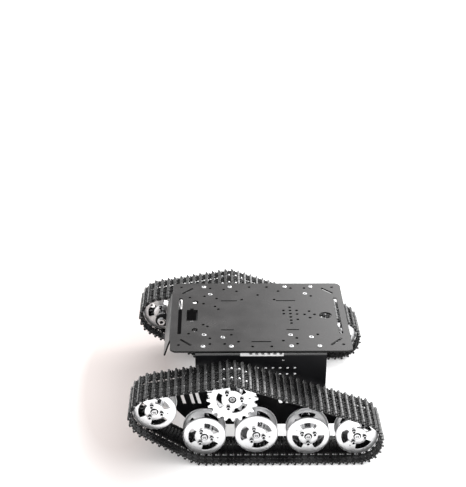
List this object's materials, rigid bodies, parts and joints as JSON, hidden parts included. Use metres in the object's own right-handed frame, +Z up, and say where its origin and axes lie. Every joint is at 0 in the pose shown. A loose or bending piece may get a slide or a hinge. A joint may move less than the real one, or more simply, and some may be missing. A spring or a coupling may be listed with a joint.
{
  "type": "tracked tank chassis",
  "caption": "Desktop robot base: folded metal hull and slotted deck on two plastic link tracks with twin-disc metal wheels and toothed drive sprockets.",
  "frame": {"origin": "on the ground, under the middle of the machine's box", "axes": "+X forward, towards the low front idlers, along the longest side; +Y to the left; +Z up"},
  "size_m": [0.289, 0.2816, 0.1167],
  "materials": {
    "hull_sheet": "satin black coating",
    "deck_sheet": "satin dark grey coating",
    "aluminium": "fine brushed",
    "steel": "bright turned",
    "track_plastic": "moulded black nylon with a soft sheen",
    "motor_can": "satin zinc",
    "gearbox_metal": "passivated"
  },
  "bodies": {
    "root": {"hull": "hull_sheet", "deck_plate": "deck_sheet", "left_track": "track_plastic", "left_rear_idler_axle": "steel", "left_road_wheel_1_axle": "steel", "left_road_wheel_2_axle": "steel", "left_road_wheel_3_axle": "steel", "left_front_idler_axle": "steel", "left_gearbox": "gearbox_metal", "left_motor": "motor_can", "right_track": "track_plastic", "right_rear_idler_axle": "steel", "right_road_wheel_1_axle": "steel", "right_road_wheel_2_axle": "steel", "right_road_wheel_3_axle": "steel", "right_front_idler_axle": "steel", "right_gearbox": "gearbox_metal", "right_motor": "motor_can"},
    "left_rear_idler": {"left_rear_idler_outer_disc": "aluminium", "left_rear_idler_inner_disc": "aluminium", "left_rear_idler_hub": "aluminium"},
    "left_road_wheel_1": {"left_road_wheel_1_outer_disc": "aluminium", "left_road_wheel_1_inner_disc": "aluminium", "left_road_wheel_1_hub": "aluminium"},
    "left_road_wheel_2": {"left_road_wheel_2_outer_disc": "aluminium", "left_road_wheel_2_inner_disc": "aluminium", "left_road_wheel_2_hub": "aluminium"},
    "left_road_wheel_3": {"left_road_wheel_3_outer_disc": "aluminium", "left_road_wheel_3_inner_disc": "aluminium", "left_road_wheel_3_hub": "aluminium"},
    "left_front_idler": {"left_front_idler_outer_disc": "aluminium", "left_front_idler_inner_disc": "aluminium", "left_front_idler_hub": "aluminium"},
    "left_sprocket": {"left_sprocket_outer_disc": "aluminium", "left_sprocket_inner_disc": "aluminium", "left_drive_shaft": "steel"},
    "right_rear_idler": {"right_rear_idler_outer_disc": "aluminium", "right_rear_idler_inner_disc": "aluminium", "right_rear_idler_hub": "aluminium"},
    "right_road_wheel_1": {"right_road_wheel_1_outer_disc": "aluminium", "right_road_wheel_1_inner_disc": "aluminium", "right_road_wheel_1_hub": "aluminium"},
    "right_road_wheel_2": {"right_road_wheel_2_outer_disc": "aluminium", "right_road_wheel_2_inner_disc": "aluminium", "right_road_wheel_2_hub": "aluminium"},
    "right_road_wheel_3": {"right_road_wheel_3_outer_disc": "aluminium", "right_road_wheel_3_inner_disc": "aluminium", "right_road_wheel_3_hub": "aluminium"},
    "right_front_idler": {"right_front_idler_outer_disc": "aluminium", "right_front_idler_inner_disc": "aluminium", "right_front_idler_hub": "aluminium"},
    "right_sprocket": {"right_sprocket_outer_disc": "aluminium", "right_sprocket_inner_disc": "aluminium", "right_drive_shaft": "steel"}
  },
  "joints": [
    {"name": "left_drive", "type": "hinge", "parent": "root", "child": "left_sprocket", "pos_m": [-0.0274, 0.1148, 0.079], "axis": [0, 1, 0], "continuous": true},
    {"name": "left_rear_idler_spin", "type": "hinge", "parent": "root", "child": "left_rear_idler", "pos_m": [-0.115, 0.1148, 0.064], "axis": [0, 1, 0], "continuous": true},
    {"name": "left_road_wheel_1_spin", "type": "hinge", "parent": "root", "child": "left_road_wheel_1", "pos_m": [-0.0591, 0.1148, 0.0296], "axis": [0, 1, 0], "continuous": true},
    {"name": "left_road_wheel_2_spin", "type": "hinge", "parent": "root", "child": "left_road_wheel_2", "pos_m": [0, 0.1148, 0.0318], "axis": [0, 1, 0], "continuous": true},
    {"name": "left_road_wheel_3_spin", "type": "hinge", "parent": "root", "child": "left_road_wheel_3", "pos_m": [0.0591, 0.1148, 0.0296], "axis": [0, 1, 0], "continuous": true},
    {"name": "left_front_idler_spin", "type": "hinge", "parent": "root", "child": "left_front_idler", "pos_m": [0.115, 0.1148, 0.0296], "axis": [0, 1, 0], "continuous": true},
    {"name": "right_drive", "type": "hinge", "parent": "root", "child": "right_sprocket", "pos_m": [-0.0274, -0.1148, 0.079], "axis": [0, 1, 0], "continuous": true},
    {"name": "right_rear_idler_spin", "type": "hinge", "parent": "root", "child": "right_rear_idler", "pos_m": [-0.115, -0.1148, 0.064], "axis": [0, 1, 0], "continuous": true},
    {"name": "right_road_wheel_1_spin", "type": "hinge", "parent": "root", "child": "right_road_wheel_1", "pos_m": [-0.0591, -0.1148, 0.0296], "axis": [0, 1, 0], "continuous": true},
    {"name": "right_road_wheel_2_spin", "type": "hinge", "parent": "root", "child": "right_road_wheel_2", "pos_m": [0, -0.1148, 0.0318], "axis": [0, 1, 0], "continuous": true},
    {"name": "right_road_wheel_3_spin", "type": "hinge", "parent": "root", "child": "right_road_wheel_3", "pos_m": [0.0591, -0.1148, 0.0296], "axis": [0, 1, 0], "continuous": true},
    {"name": "right_front_idler_spin", "type": "hinge", "parent": "root", "child": "right_front_idler", "pos_m": [0.115, -0.1148, 0.0296], "axis": [0, 1, 0], "continuous": true}
  ],
  "couplings": [
    {"joint": "left_rear_idler_spin", "follows": "left_drive", "ratio": 1.0807},
    {"joint": "left_road_wheel_1_spin", "follows": "left_drive", "ratio": 1.0807},
    {"joint": "left_road_wheel_2_spin", "follows": "left_drive", "ratio": 1.0807},
    {"joint": "left_road_wheel_3_spin", "follows": "left_drive", "ratio": 1.0807},
    {"joint": "left_front_idler_spin", "follows": "left_drive", "ratio": 1.0807},
    {"joint": "right_rear_idler_spin", "follows": "right_drive", "ratio": 1.0807},
    {"joint": "right_road_wheel_1_spin", "follows": "right_drive", "ratio": 1.0807},
    {"joint": "right_road_wheel_2_spin", "follows": "right_drive", "ratio": 1.0807},
    {"joint": "right_road_wheel_3_spin", "follows": "right_drive", "ratio": 1.0807},
    {"joint": "right_front_idler_spin", "follows": "right_drive", "ratio": 1.0807}
  ]
}
